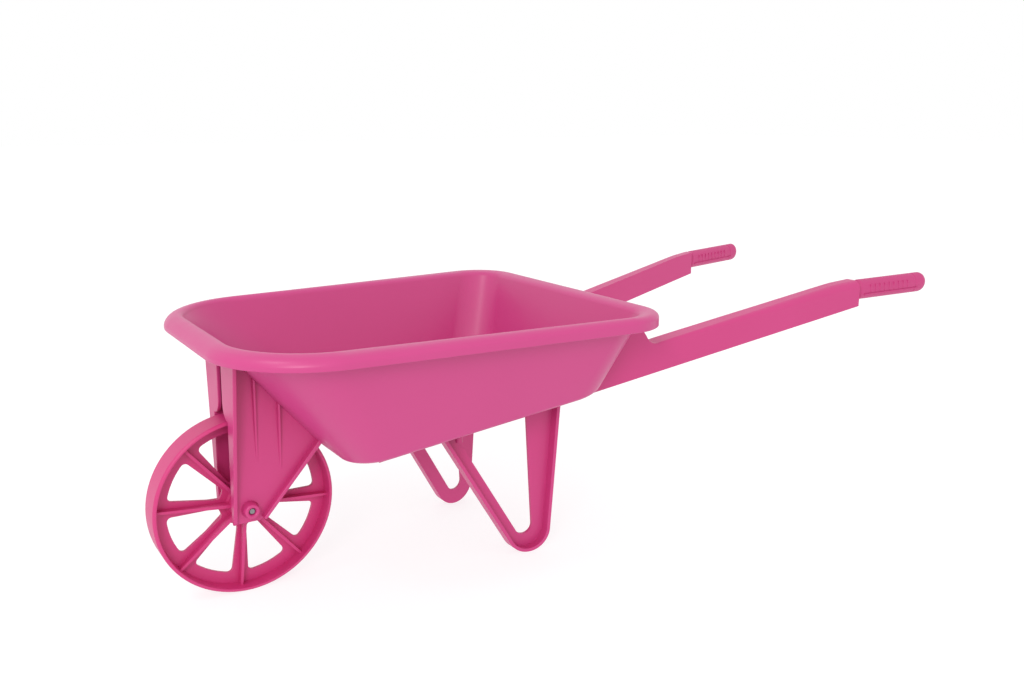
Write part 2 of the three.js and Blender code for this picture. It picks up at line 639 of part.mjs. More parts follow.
function makeWheel() {
  const halfTread = treadWidth / 2;
  const halfWeb = webThickness / 2;
  const bandInner = wheelRadius - treadThickness;
  const bore = axleRadius + runningClearance;
  const windowOuterRadius = wheelRadius - windowToTread;
  const half = [
    [bore, hubWidth / 2], [hubRadius - 1, hubWidth / 2], [hubRadius, hubWidth / 2 - 1],
    [hubRadius + 0.6, halfWeb + 2], [hubRadius + 2.6, halfWeb], [bandInner - 3.4, halfWeb],
    [bandInner - 1.6, halfWeb + 1.4], [bandInner - 0.6, halfTread - 0.6], [bandInner, halfTread],
    [wheelRadius - treadEdge, halfTread], [wheelRadius, halfTread - treadEdge],
  ];
  const profile = [...half, ...half.map(([r, y]) => [r, -y]).reverse()];
  profile.push(profile[0]);
  const body = toSolid(new THREE.LatheGeometry(profile.map(([r, y]) => new THREE.Vector2(r, y)).reverse(), 48));

  // one window, outlined about its own middle line along +X, with rounded corners
  const cornersOf = (radius, width) => {
    const stepAngle = Math.PI / spokeCount;
    // a spoke's edge runs parallel to the spoke's middle line, half its width away
    const angle = stepAngle - Math.asin(width / 2 / radius);
    return [radius * Math.cos(angle), radius * Math.sin(angle)];
  };
  const [innerX, innerZ] = cornersOf(windowInnerRadius, spokeWidthAtHub);
  const [outerX, outerZ] = cornersOf(windowOuterRadius, spokeWidthAtRim);
  const edge = Math.atan2(outerZ - innerZ, outerX - innerX);
  const outerCorner = windowOuterRadius - windowCornerRadius;
  const centreOuter = cornerCentre(outerCorner, innerX, innerZ, edge, windowCornerRadius);
  const innerCornerRadius = windowCornerRadius * 0.7;
  const innerCorner = windowInnerRadius + innerCornerRadius;
  const centreInner = cornerCentre(innerCorner, innerX, innerZ, edge, innerCornerRadius);
  const outerAngle = Math.atan2(centreOuter[1], centreOuter[0]);
  const innerAngle = Math.atan2(centreInner[1], centreInner[0]);
  const upper = [
    ...arc(0, 0, windowInnerRadius, 0, innerAngle, 2),
    ...arc(centreInner[0], centreInner[1], innerCornerRadius, innerAngle + Math.PI, edge + Math.PI / 2, 3).slice(1),
    ...arc(centreOuter[0], centreOuter[1], windowCornerRadius, edge + Math.PI / 2, outerAngle, 4),
    ...arc(0, 0, windowOuterRadius, outerAngle, 0, 3).slice(1),
  ];
  const window = [...upper, ...upper.slice(1, -1).reverse().map(([x, z]) => [x, -z])].reverse();

  const windows = [];
  const ribs = [];
  for (let i = 0; i < spokeCount; i++) {
    const turn = spokePhase + (i * 360) / spokeCount;
    windows.push(slab(window, -halfTread, halfTread).rotate([0, turn + 180 / spokeCount, 0]));
    const ribStart = hubRadius - 1;
    const ribEnd = bandInner + 0.5;
    const geometry = new THREE.ExtrudeGeometry(new THREE.Shape([
      new THREE.Vector2(ribStart, -spokeRibWidthAtHub / 2), new THREE.Vector2(ribEnd, -spokeRibWidthAtRim / 2),
      new THREE.Vector2(ribEnd, spokeRibWidthAtRim / 2), new THREE.Vector2(ribStart, spokeRibWidthAtHub / 2),
    ]), { depth: spokeRibThickness, bevelEnabled: false });
    ribs.push(toSolid(moved(geometry, 0, 0, -spokeRibThickness / 2)).rotate([0, turn, 0]));
  }
  const wheel = join(cut(body, ...windows), ...ribs);
  return wheel.translate([0, 0, axleHeight]);
}

// The centre of a circle that lies at a distance from the origin and just inside a straight edge.
function cornerCentre(distance, edgeX, edgeZ, edgeAngle, radius) {
  const direction = [Math.cos(edgeAngle), Math.sin(edgeAngle)];
  const start = [edgeX + direction[1] * radius, edgeZ - direction[0] * radius];
  const along = start[0] * direction[0] + start[1] * direction[1];
  const rest = start[0] ** 2 + start[1] ** 2 - distance ** 2;
  const travel = -along + Math.sqrt(along ** 2 - rest);
  return [start[0] + direction[0] * travel, start[1] + direction[1] * travel];
}

function makeAxle() {
  const half = bossReach - axleRecess;
  const profile = [
    [0, -half], [axleRadius - 0.5, -half], [axleRadius, -half + 0.5],
    [axleRadius, half - 0.5], [axleRadius - 0.5, half], [0, half],
  ];
  return toSolid(new THREE.LatheGeometry(profile.map(([r, y]) => new THREE.Vector2(r, y)), 28))
    .translate([0, 0, axleHeight]);
}

function makeRetainer() {
  const start = hubWidth / 2 + gap;
  const disc = rod(retainerRadius, [0, start, axleHeight], [0, start + retainerThickness, axleHeight], 24);
  return cut(disc, rod(axleRadius + gap, [0, 0, axleHeight], [0, 40, axleHeight], 24));
}

// ---------- grips ----------

function makeGrip() {
  const length = gripTip - beamEnd - gap;
  const radius = gripHeight / 2;
  const domeLength = radius * gripDome;
  const profile = [[0, 0], [radius - 0.8, 0], [radius, 1], [radius, length - domeLength]];
  for (let i = 1; i < 6; i++) {
    const angle = (Math.PI / 2) * (i / 6);
    profile.push([radius * Math.cos(angle), length - domeLength * (1 - Math.sin(angle))]);
  }
  profile.push([0, length]);
  const geometry = new THREE.LatheGeometry(profile.map(([r, y]) => new THREE.Vector2(r, y)), 28);
  geometry.rotateZ(-Math.PI / 2);
  geometry.scale(1, gripWidth / gripHeight, 1);
  let grip = toSolid(geometry);
  const tongue = box(-tongueLength, 1, -tongueWidth / 2, tongueWidth / 2,
    -tongueDrop - tongueHeight / 2, -tongueDrop + tongueHeight / 2);
  grip = grip.add(tongue);
  // rise towards the tip, and stand in line with the beam
  grip = grip.transform([1, 0, gripAxisRise, 0, 0, 1, 0, 0, 0, 0, 1, 0, 0, 0, 0, 1]);
  grip = grip.translate([beamEnd + gap, frameInnerAtAxle + beamWidth / 2, gripAxisZ]);
  return splay(grip);
}

// ---------- screws ----------

// A pan-head screw whose head sits at a point and whose shank runs on from it.
function makeScrew(from, to) {
  const start = new THREE.Vector3(...from);
  const direction = new THREE.Vector3(...to).sub(start).normalize();
  const headEnd = start.clone().addScaledVector(direction, screwHeadHeight);
  const head = rod(screwHeadRadius, from, headEnd.toArray(), 16);
  const shank = rod(screwShankRadius, start.clone().addScaledVector(direction, 1).toArray(), to, 10);
  const recess = rod(1.1, start.clone().addScaledVector(direction, -1).toArray(),
    start.clone().addScaledVector(direction, 1.1).toArray(), 6);
  return cut(join(head, shank), recess);
}

function makeRailScrew({ x, below }) {
  const y = frameMiddleY(x);
  const boss = beamBottomZ(x) - below;
  return makeScrew([x, y, boss - gap - screwHeadHeight], [x, y, floorZ(x) - gap]);
}

function makeForkScrew(place) {
  const at = forkScrewAt(place, 1);
  const inside = frontWallDepth(place) + gap + 0.1;
  return makeScrew(at(inside + screwHeadHeight), at(-forkScrewBoss.depth + 2));
}

// ---------- assembly ----------

const wheelbarrow = new THREE.Group();
wheelbarrow.position.x = (wheelRadius - gripTip) / 2;

function place(name, solid, material) {
  const mesh = new THREE.Mesh(toGeometry(solid), material);
  mesh.name = name;
  wheelbarrow.add(mesh);
}

// The pusher's left is -Y. Each piece is made for the +Y side and mirrored for the other.
function placePair(name, solid, material) {
  place(`right_${name}`, solid, material());
  place(`left_${name}`, mirrored(solid), material());
}

place('tub', makeTub(), moulded(tubPink));
placePair('side_frame', makeSideFrame(), () => moulded(framePink));
placePair('fork_bracket', makeFork(), () => moulded(framePink));
placePair('grip', makeGrip(), () => moulded(framePink));
place('wheel', makeWheel(), moulded(wheelPink));
place('axle', makeAxle(), steel());
placePair('axle_retainer', makeRetainer(), steel);
railScrews.forEach((screw, i) => placePair(`rail_screw_${i + 1}`, makeRailScrew(screw), steel));
forkScrews.forEach((screw, i) => placePair(`fork_screw_${i + 1}`, makeForkScrew(screw), steel));

export default wheelbarrow;
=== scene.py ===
import math

import bmesh
import bpy
from mathutils import Matrix, Vector


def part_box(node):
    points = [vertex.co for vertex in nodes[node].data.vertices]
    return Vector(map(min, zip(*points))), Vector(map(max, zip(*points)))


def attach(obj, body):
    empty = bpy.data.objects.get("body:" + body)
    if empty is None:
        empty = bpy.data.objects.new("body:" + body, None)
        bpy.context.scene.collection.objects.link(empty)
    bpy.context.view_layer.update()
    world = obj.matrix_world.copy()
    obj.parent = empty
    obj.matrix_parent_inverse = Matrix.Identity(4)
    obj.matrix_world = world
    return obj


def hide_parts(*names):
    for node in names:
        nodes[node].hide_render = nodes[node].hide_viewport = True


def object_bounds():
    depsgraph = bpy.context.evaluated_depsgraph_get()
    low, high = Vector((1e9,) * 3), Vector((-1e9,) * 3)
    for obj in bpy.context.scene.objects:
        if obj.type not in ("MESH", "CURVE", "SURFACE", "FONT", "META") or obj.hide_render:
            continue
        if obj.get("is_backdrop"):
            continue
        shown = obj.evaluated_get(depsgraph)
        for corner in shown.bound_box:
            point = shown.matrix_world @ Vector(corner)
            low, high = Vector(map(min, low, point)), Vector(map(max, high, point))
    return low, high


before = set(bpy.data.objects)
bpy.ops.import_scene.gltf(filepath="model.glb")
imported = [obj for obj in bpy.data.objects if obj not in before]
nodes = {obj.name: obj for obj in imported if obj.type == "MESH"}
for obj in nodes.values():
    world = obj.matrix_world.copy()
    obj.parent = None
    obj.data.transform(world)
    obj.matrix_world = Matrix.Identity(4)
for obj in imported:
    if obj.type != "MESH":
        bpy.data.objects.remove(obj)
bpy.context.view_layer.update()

scene = bpy.context.scene

# ---------------------------------------------------------------------------------------- tub
# A deep one-piece tub, injection moulded in pink polypropylene with a satin skin. The rim is rolled
# outwards and down into a skirt, which stiffens it and hides the tops of the fork and of the frames.

# Every piece is drawn in millimetres from the point on the ground under the axle.
wheel_low, wheel_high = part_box("wheel")
axle_place = Vector(((wheel_low.x + wheel_high.x) / 2, 0, 0))
drawn_to_frame = Matrix.Translation(axle_place) @ Matrix.Scale(0.001, 4)

# Rounded trapeziums: "spread" widens the corners so that the sides run straight between the roundings.
rim_outline = {"front": -37.8, "rear": 343.1, "half_front": 142.6, "half_rear": 158.55,
               "corner_front": 81.0, "corner_rear": 49.2, "spread": 0.0636}
floor_outline = {"front": 67.2, "rear": 303.2, "half_front": 92.4, "half_rear": 120.5,
                 "corner_front": 28.0, "corner_rear": 37.5, "spread": 0.0}
rim_height = 228.4
floor_low = 118.6
floor_rise = 0.1608
tub_wall = 3.1
floor_wall = 2.8
under_fillet = 4.2
inside_fillet = 6.4
rim_section = [  # inwards from the outer edge, and down from the top at the front and at the rear
    (14.5, 4.0, 4.2), (12.6, 2.9, 3.7), (8.9, 3.2, 3.0), (5.2, 4.9, 3.1), (3.6, 6.6, 3.7),
    (2.8, 8.8, 4.9),
    (2.6, 11.4, 11.4), (2.2, 12.0, 12.0), (0.4, 12.0, 12.0), (0.0, 11.6, 11.6), (0.0, 9.0, 4.4),
    (0.25, 7.9, 3.3), (1.0, 6.5, 2.2), (2.0, 4.9, 1.3), (3.0, 3.9, 0.75), (4.0, 3.05, 0.4),
    (5.0, 2.35, 0.15),
    (6.0, 1.8, 0.05), (7.5, 1.15, 0.05), (9.0, 0.6, 0.25), (10.5, 0.2, 0.5), (12.0, 0.05, 0.85),
    (13.4, 0.2, 1.3), (14.6, 0.65, 1.85), (15.6, 1.35, 2.5), (16.4, 2.2, 3.2), (17.1, 3.3, 4.0),
    (17.6, 4.8, 4.8),
]


def rounded_loop(bm, outline, inward, height_at, corner_steps=14):
    """A rounded trapezium, moved inwards and lifted to a height. Returns its face and edges."""
    already = set(bm.verts)
    front, rear = outline["front"] + inward, outline["rear"] - inward
    radius_front, radius_rear = outline["corner_front"] - inward, outline["corner_rear"] - inward
    half_front = outline["half_front"] - inward - outline["spread"] * radius_front
    half_rear = outline["half_rear"] - inward + outline["spread"] * radius_rear
    corners = [bm.verts.new(p) for p in (
        (front, -half_front, 0), (rear, -half_rear, 0), (rear, half_rear, 0), (front, half_front, 0))]
    bm.faces.new(corners)
    for pair, radius in ((corners[::3], radius_front), (corners[1:3], radius_rear)):
        bmesh.ops.bevel(bm, geom=pair, offset=radius, segments=corner_steps, profile=0.5,
                        affect="VERTICES", material=-1)
    made = [v for v in bm.verts if v not in already]
    for v in made:
        v.co.z = height_at(v.co.x)
    face = made[0].link_faces[0]
    return face, list(face.edges)


def floor_height(x):
    return floor_low + floor_rise * (x - floor_outline["front"])


def as_piece(bm, name, body, stands_for, finish, edge=0.7, side=1):
    """Turns a drawn mesh into a piece of the barrow, with its moulded edges rounded."""
    bmesh.ops.remove_doubles(bm, verts=bm.verts, dist=0.001)
    if side < 0:
        bmesh.ops.scale(bm, verts=bm.verts, vec=(1, -1, 1))
    bmesh.ops.recalc_face_normals(bm, faces=bm.faces)
    bm.transform(drawn_to_frame)
    mesh = bpy.data.meshes.new(name)
    bm.to_mesh(mesh)
    bm.free()
    mesh.shade_smooth()
    mesh.materials.append(finish)
    piece = bpy.data.objects.new(name, mesh)
    scene.collection.objects.link(piece)
    if edge:
        rounding = piece.modifiers.new("edges", "BEVEL")
        rounding.width = edge / 1000
        rounding.segments = 3
        rounding.limit_method = "ANGLE"
        rounding.angle_limit = math.radians(38)
        rounding.harden_normals = True
        rounding.material = -1
    flats = piece.modifiers.new("flats", "WEIGHTED_NORMAL")
    flats.keep_sharp = True
    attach(piece, body)
    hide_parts(*stands_for)
    return piece


class Strand:
    """One output of a shader node, so that sums over a surface can be written as sums."""

    def __init__(self, tree, socket):
        self.tree = tree
        self.socket = socket

    def node(self, kind, settings, inputs, output=0):
        made = self.tree.nodes.new(kind)
        for key, value in settings.items():
            setattr(made, key, value)
        for key, value in inputs.items():
            if isinstance(value, Strand):
                self.tree.links.new(value.socket, made.inputs[key])
            else:
                made.inputs[key].default_value = value
        return Strand(self.tree, made.outputs[output])

    def maths(self, operation, first, second):
        return self.node("ShaderNodeMath", {"operation": operation}, {0: first, 1: second})

    def __add__(self, other):
        return self.maths("ADD", self, other)

    def __sub__(self, other):
        return self.maths("SUBTRACT", self, other)

    def __rsub__(self, other):
        return self.maths("SUBTRACT", other, self)

    def __mul__(self, other):
        return self.maths("MULTIPLY", self, other)

    __radd__ = __add__
    __rmul__ = __mul__


def start_finish(name):
    """An empty material: its shader, and the place on the piece in metres."""
    finish = bpy.data.materials.new(name)
    finish.use_nodes = True
    tree = finish.node_tree
    shader = tree.nodes["Principled BSDF"]
    place = Strand(tree, tree.nodes.new("ShaderNodeTexCoord").outputs["Object"])
    return finish, shader, place


def moulded_pink(name, light, deep, gloss=0.4, grain=0.5, waviness=1.0):
    """Satin polypropylene: slow drifts of pigment, a fine spark-eroded grain and slight sink marks."""
    finish, shader, place = start_finish(name)
    drift = place.node("ShaderNodeTexNoise", {}, {"Vector": place, "Scale": 9.0, "Detail": 3.0})
    cloud = place.node("ShaderNodeTexNoise", {}, {"Vector": place, "Scale": 60.0, "Detail": 4.0})
    fine = place.node("ShaderNodeTexNoise", {}, {"Vector": place, "Scale": 1700.0, "Detail": 2.0})
    slow = place.node("ShaderNodeTexNoise", {}, {"Vector": place, "Scale": 22.0, "Detail": 1.0})
    tint = drift * 0.75 + cloud * 0.25
    colour = place.node("ShaderNodeMix", {"data_type": "RGBA"},
                        {"Factor": tint, 6: (*deep, 1), 7: (*light, 1)}, output=2)
    rough = (cloud - 0.5) * 0.12 + (fine - 0.5) * 0.1 + gloss
    bumps = fine * (0.00001 * grain) + slow * (0.0005 * waviness)
    relief = place.node("ShaderNodeBump", {}, {"Height": bumps, "Strength": 1.0, "Distance": 1.0})
    tree = finish.node_tree
    tree.links.new(colour.socket, shader.inputs["Base Color"])
    tree.links.new(rough.socket, shader.inputs["Roughness"])
    tree.links.new(relief.socket, shader.inputs["Normal"])
    shader.inputs["IOR"].default_value = 1.49
    shader.inputs["Specular IOR Level"].default_value = 0.46
    return finish


tub_skin = moulded_pink("tub_polypropylene", light=(0.545, 0.048, 0.212), deep=(0.505, 0.038, 0.187))
tub_skin.node_tree.nodes["Principled BSDF"].inputs["Coat Weight"].default_value = 0.15
tub_skin.node_tree.nodes["Principled BSDF"].inputs["Coat Roughness"].default_value = 0.3

bm = bmesh.new()
under_edges = rounded_loop(bm, floor_outline, 0, floor_height)[1]
last_edges = under_edges
rim_length = rim_outline["rear"] - rim_outline["front"]
for inward, drop_front, drop_rear in rim_section:
    fall = (drop_rear - drop_front) / rim_length
    face, edges = rounded_loop(
        bm, rim_outline, inward,
        lambda x: rim_height - drop_front - fall * (x - rim_outline["front"]))
    bmesh.ops.delete(bm, geom=[face], context="FACES_ONLY")
    bmesh.ops.bridge_loops(bm, edges=last_edges + edges)
    last_edges = edges
inside_face, inside_edges = rounded_loop(
    bm, floor_outline, tub_wall, lambda x: floor_height(x) + floor_wall)
bmesh.ops.bridge_loops(bm, edges=last_edges + inside_edges)
bmesh.ops.recalc_face_normals(bm, faces=bm.faces)
bmesh.ops.bevel(bm, geom=under_edges, offset=under_fillet, segments=6, profile=0.5,
                affect="EDGES", material=-1)
bmesh.ops.bevel(bm, geom=list(inside_face.edges), offset=inside_fillet, segments=6, profile=0.5,
                affect="EDGES", material=-1)
as_piece(bm, "tub_moulding", "barrow", ["tub"], tub_skin, edge=0)

# ------------------------------------------------------------------------------- side frames
# Each side frame is one moulding: a rail under the tub, a gusset up its rear wall, the long handle beam
# and a V-shaped leg. The rail and the beam are channels, open below, with cross webs inside.

frame_skin = moulded_pink("frame_polypropylene", light=(0.570, 0.046, 0.205), deep=(0.525, 0.036, 0.178))

frame_inner = 29.9
frame_splay = 0.1441
beam_width = 16.9
beam_wall = 2.6
beam_end = 607.0
leg_plate = 3.0
leg_depth = 11.5
leg_flange = 3.0
foot_centre = (241.5, 21.3)
foot_radius = 21.3
opening_foot = (240.5, 23.7)
opening_radius = 8.7
foot_steps = 30
leg_rise = 5  # how far the leg runs up into the rail
web_places = [162.0, 269.0, 322.0, 369.0, 416.0, 463.0, 510.0, 557.0]
boss_places = [118.0, 204.0, 290.0]
boss_radius = 5.4
boss_lift = 3.2
peg_place = 175.5
peg_radius = 3.0
peg_drop = 8.6


def beam_bottom(x):
    return 91.2 + 0.185 * x


# Top of the frame along its length, from the rail's nose to the beam's end, with the radius of the
# shoulder between its outer face and its top.
frame_top = [
    (100.0, 124.0, 0.9), (200.0, 140.1, 0.9), (303.3, 156.7, 0.9), (306.0, 163.4, 0.9),
    (316.0, 190.1, 0.9), (328.6, 223.8, 0.9), (336.4, 224.1, 0.9), (339.6, 221.4, 0.9),
    (339.9, 214.0, 0.9), (345.2, 212.4, 0.9), (351.0, 204.0, 1.2), (356.7, 195.7, 1.5),
    (358.6, 192.6, 1.6), (360.6, 190.3, 1.7), (363.4, 188.2, 1.8), (366.6, 187.2, 1.9),
    (370.0, 187.3, 2.0), (374.0, 188.3, 2.1), (395.0, 192.3, 2.6), (425.0, 197.8, 3.4),
    (455.0, 203.4, 4.2), (490.0, 209.8, 5.2), (525.0, 216.3, 6.4), (555.0, 221.9, 7.3),
    (574.0, 225.4, 7.8), (583.0, 226.9, 8.0), (592.0, 227.9, 8.0), (606.8, 229.4, 8.0),
]


def top_at(x):
    for (x0, z0, _), (x1, z1, _) in zip(frame_top, frame_top[1:]):
        if x <= x1:
            return z0 + (z1 - z0) * max(0.0, (x - x0) / (x1 - x0))
    return frame_top[-1][1]


def slab(bm, outline, y_low, y_high):
    """A flat plate: a closed outline of (x, z) points, drawn out sideways."""
    face = bm.faces.new([bm.verts.new((x, y_low, z)) for x, z in outline])
    grown = bmesh.ops.extrude_face_region(bm, geom=[face])["geom"]
    bmesh.ops.translate(bm, verts=[g for g in grown if isinstance(g, bmesh.types.BMVert)],
                        vec=(0, y_high - y_low, 0))


def arc(centre, radius, start, end, steps):
    return [(centre[0] + radius * math.cos(start + (end - start) * i / steps),
             centre[1] + radius * math.sin(start + (end - start) * i / steps)) for i in range(steps + 1)]


def touch_angle(point, centre, radius, side):
    """Where on a circle a line from a point touches it."""
    dx, dz = point[0] - centre[0], point[1] - centre[1]
    return math.atan2(dz, dx) + side * math.acos(radius / math.hypot(dx, dz))


def run_up(point, touch, rise):
    """The point carried on upwards along the line that touches the foot's circle."""
    return (point[0] - rise * math.sin(touch) / math.cos(touch), point[1] + rise)


def sweep(bm, sections):
    """A solid through equal loops of points, closed at both ends."""
    last = None
    for i, points in enumerate(sections):
        corners = [bm.verts.new(p) for p in points]
        edges = [bm.edges.new(pair) for pair in zip(corners, corners[1:] + corners[:1])]
        if i in (0, len(sections) - 1):
            bm.faces.new(corners)
        if last:
            bmesh.ops.bridge_loops(bm, edges=last + edges)
        last = edges


def upright(bm, centre, radius, z_low, z_high, steps=28):
    """An upright round boss."""
    middle = Matrix.Translation((centre[0], centre[1], (z_low + z_high) / 2))
    bmesh.ops.create_cone(bm, cap_ends=True, segments=steps, radius1=radius, radius2=radius,
                          depth=z_high - z_low, matrix=middle)


for side_name, side in (("right", 1), ("left", -1)):
    bm = bmesh.new()
    # rail, gusset and beam, section by section along the frame
    outer = frame_inner + beam_width
    sections = []
    for x, top, shoulder in frame_top:
        already = set(bm.verts)
        low = beam_bottom(x)
        corners = [bm.verts.new((x, y, z)) for y, z in (
            (frame_inner, low), (outer, low), (outer, top), (frame_inner, top))]
        bm.faces.new(corners)
        bmesh.ops.bevel(bm, geom=[corners[2]], offset=shoulder, segments=6, profile=0.5,
                        affect="VERTICES", material=-1)
        face = next(v for v in bm.verts if v not in already).link_faces[0]
        sections.append((face, list(face.edges)))
    for face, _ in sections[1:-1]:
        bmesh.ops.delete(bm, geom=[face], context="FACES_ONLY")
    for (_, before), (_, after) in zip(sections, sections[1:]):
        bmesh.ops.bridge_loops(bm, edges=before + after)
    bmesh.ops.recalc_face_normals(bm, faces=bm.faces)
    underside = [f for f in bm.faces if f.normal.z < -0.9]
    bmesh.ops.inset_region(bm, faces=underside, thickness=beam_wall, use_even_offset=True)
    hollow = bmesh.ops.extrude_face_region(bm, geom=underside)["geom"]
    bmesh.ops.delete(bm, geom=underside, context="FACES")
    for v in (g for g in hollow if isinstance(g, bmesh.types.BMVert)):
        v.co.z = min(top_at(v.co.x - 4), top_at(v.co.x), top_at(v.co.x + 4)) - beam_wall
    for x in web_places:
        low, top = beam_bottom(x) + 1.5, min(top_at(x - 2), top_at(x + 2)) - 2.5
        bmesh.ops.create_cube(bm, size=1, matrix=Matrix.Translation(
            (x, frame_inner + beam_width / 2, (low + top) / 2)) @ Matrix.Diagonal(
            (2.0, beam_width - 5.0, top - low, 1)))
    # leg: a flat plate that runs down and round the foot, with a flange on its outer edge
    front_top = (159.1, beam_bottom(159.1))
    rear_top = (272.4, beam_bottom(272.4))
    begin = touch_angle(front_top, foot_centre, foot_radius, 1)
    end = touch_angle(rear_top, foot_centre, foot_radius, -1) + 2 * math.pi
    open_front = (172.9, beam_bottom(172.9))
    open_rear = (243.1, beam_bottom(243.1))
    open_begin = touch_angle(open_front, opening_foot, opening_radius, 1)
    open_end = touch_angle(open_rear, opening_foot, opening_radius, -1) + 2 * math.pi
    foot_arc = arc(foot_centre, foot_radius, begin, end, foot_steps)
    opening_arc = arc(opening_foot, opening_radius, open_begin, open_end, foot_steps)
    outer_line = [run_up(front_top, begin, leg_rise), *foot_arc, run_up(rear_top, end, leg_rise)]
    inner_line = [run_up(open_front, open_begin, leg_rise), *opening_arc,
                  run_up(open_rear, open_end, leg_rise)]
    turns = [begin, *(begin + (end - begin) * i / foot_steps for i in range(foot_steps + 1)), end]
    sections = []
    for (ox, oz), (ix, iz), turn in zip(outer_line, inner_line, turns):
        fx, fz = ox - leg_flange * math.cos(turn), oz - leg_flange * math.sin(turn)
        sections.append([(ix, 0, iz), (ox, 0, oz), (ox, leg_depth, oz), (fx, leg_depth, fz),
                         (fx, leg_plate, fz), (ix, leg_plate, iz)])
    sweep(bm, [[(x, y + frame_inner, z) for x, y, z in section] for section in sections])
    # stubby screw bosses inside the rail, and a peg that stands out below it
    for x in boss_places:
        upright(bm, (x, frame_inner + beam_width / 2), boss_radius, beam_bottom(x) + boss_lift,
                top_at(x) - 1)
    upright(bm, (peg_place, frame_inner + beam_width / 2), peg_radius,
            beam_bottom(peg_place) - peg_drop, top_at(peg_place) - 1)
    for v in bm.verts:
        v.co.y += frame_splay * v.co.x
    as_piece(bm, f"{side_name}_frame_moulding", "barrow",
             [f"{side_name}_side_frame"], frame_skin, side=side)

# ----------------------------------------------------------------------------- fork brackets
# Two brackets hang from the front wall of the tub and hold the ends of the axle. Each is a flat cheek
# with a wide flange down its front edge, a narrow one up its sloping rear edge and two slim ribs.

cheek_inner = 18.2
cheek_outer = 21.2
inset_face = cheek_inner + 0.06  # parts that cross the cheek stop just short of its inner face
flange_thickness = 3.2
into_wall = 0.4  # how far the bracket reaches into the tub's wall
over_tread = 152.7  # above this the front flange widens inwards
fork_front = -14.6
fork_lean = 0.019
fork_low = 64.8
wheel_centre = 76.4
boss_reach = 29.0
wall_top = Vector((-23.3, 0, 224.4))
wall_down = Vector((90.5, 0, -105.8)).normalized()
wall_out = Vector((-105.8, 0, -90.5)).normalized()


def front_edge(z):
    return fork_front + fork_lean * (z - wheel_centre)


def front_wall_height(x):
    """Height of the outside of the tub's front wall over a place along the barrow."""
    return wall_top.z + (x - wall_top.x) * wall_down.z / wall_down.x


def trim_at_wall(bm, parts_before):
    """Cuts what has been drawn since then off just inside the tub's front wall, and closes it."""
    fresh = [v for v in bm.verts if v not in parts_before]
    geometry = fresh + list({e for v in fresh for e in v.link_edges})
    geometry += list({f for v in fresh for f in v.link_faces})
    cut = bmesh.ops.bisect_plane(bm, geom=geometry, plane_co=wall_top - wall_out * into_wall,
                                 plane_no=-wall_out, clear_outer=True)["geom_cut"]
    edges = [g for g in cut if isinstance(g, bmesh.types.BMEdge)]
    bmesh.ops.holes_fill(bm, edges=edges, sides=0)


for side_name, side in (("right", 1), ("left", -1)):
    bm = bmesh.new()
    slab(bm, [(front_edge(fork_low + 3) + 0.5, fork_low + 3), (front_edge(fork_low) + 3, fork_low),
              (8, fork_low), (11.5, fork_low + 2), (70, 130.7), (70, 240), (front_edge(240) + 0.5, 240)],
         cheek_inner, cheek_outer)
    trim_at_wall(bm, set())
    # front flange: widens outwards as it rises, and inwards above the tyre
    already = set(bm.verts)
    flange = [(inset_face, fork_low + 2.5), (cheek_inner + 2.5, fork_low), (22, fork_low),
              (24, fork_low + 2), (41.3, 219), (5.5, 219), (5.5, over_tread + 13), (6.2, over_tread + 9),
              (8.2, over_tread + 5), (11.5, over_tread + 2), (15.5, over_tread + 0.4),
              (inset_face, over_tread)]
    face = bm.faces.new([bm.verts.new((front_edge(z), y, z)) for y, z in flange])
    grown = bmesh.ops.extrude_face_region(bm, geom=[face])["geom"]
    bmesh.ops.translate(bm, verts=[g for g in grown if isinstance(g, bmesh.types.BMVert)],
                        vec=(flange_thickness, 0, 0))
    trim_at_wall(bm, already)
    # rear flange, along the sloping edge
    already = set(bm.verts)
    slab(bm, [(11.5, fork_low + 2), (70, 132.4), (66, 133.6), (9.4, fork_low + 3.6)], inset_face, 28.0)
    trim_at_wall(bm, already)
    # slim ribs that fade out downwards
    for x, drop, proud in ((8.5, 72, 4.4), (28.3, 58, 4.4)):
        top = front_wall_height(x) - 0.1
        rib = [bm.verts.new((x + dx, y, z)) for dx in (-1.1, 1.1) for y, z in (
            (cheek_outer - 1, top - drop), (cheek_outer + 0.05, top - drop),
            (cheek_outer + proud, top - dx * 1.2 + 0.3), (cheek_outer - 1, top - dx * 1.2 + 0.3))]
        bmesh.ops.convex_hull(bm, input=rib)
    # axle boss, turned outline swung round the axle
    outline = [(2.75, inset_face), (2.75, boss_reach - 1.6), (3.6, boss_reach - 0.3), (4.6, boss_reach),
               (5.8, boss_reach - 0.3), (6.3, boss_reach - 1.2), (6.6, cheek_outer + 1.2),
               (7.6, cheek_outer - 0.1), (7.6, inset_face)]
    rim_points = [bm.verts.new((r, y, wheel_centre)) for r, y in outline]
    rim_edges = [bm.edges.new((a, b)) for a, b in zip(rim_points, rim_points[1:] + rim_points[:1])]
    bmesh.ops.spin(bm, geom=rim_points + rim_edges, cent=(0, 0, wheel_centre), axis=(0, 1, 0),
                   angle=2 * math.pi, steps=40, use_merge=True)
    # mounting strip against the tub's wall, inside the cheek
    strip = [wall_top + wall_down * a + wall_out * b
             for a, b in ((18, 0.4), (18, 3.4), (70, 3.4), (70, 0.4))]
    slab(bm, [(p.x, p.z) for p in strip], 5.5, cheek_inner + 0.5)
    as_piece(bm, f"{side_name}_fork_moulding", "barrow",
             [f"{side_name}_fork_bracket"], frame_skin, edge=1.0, side=side)

# ------------------------------------------------------------------------------------- wheel
# A one-piece moulded wheel: smooth tread band, thin web with eight windows, a hub with the axle bore
# and a rib standing on each spoke on both sides.

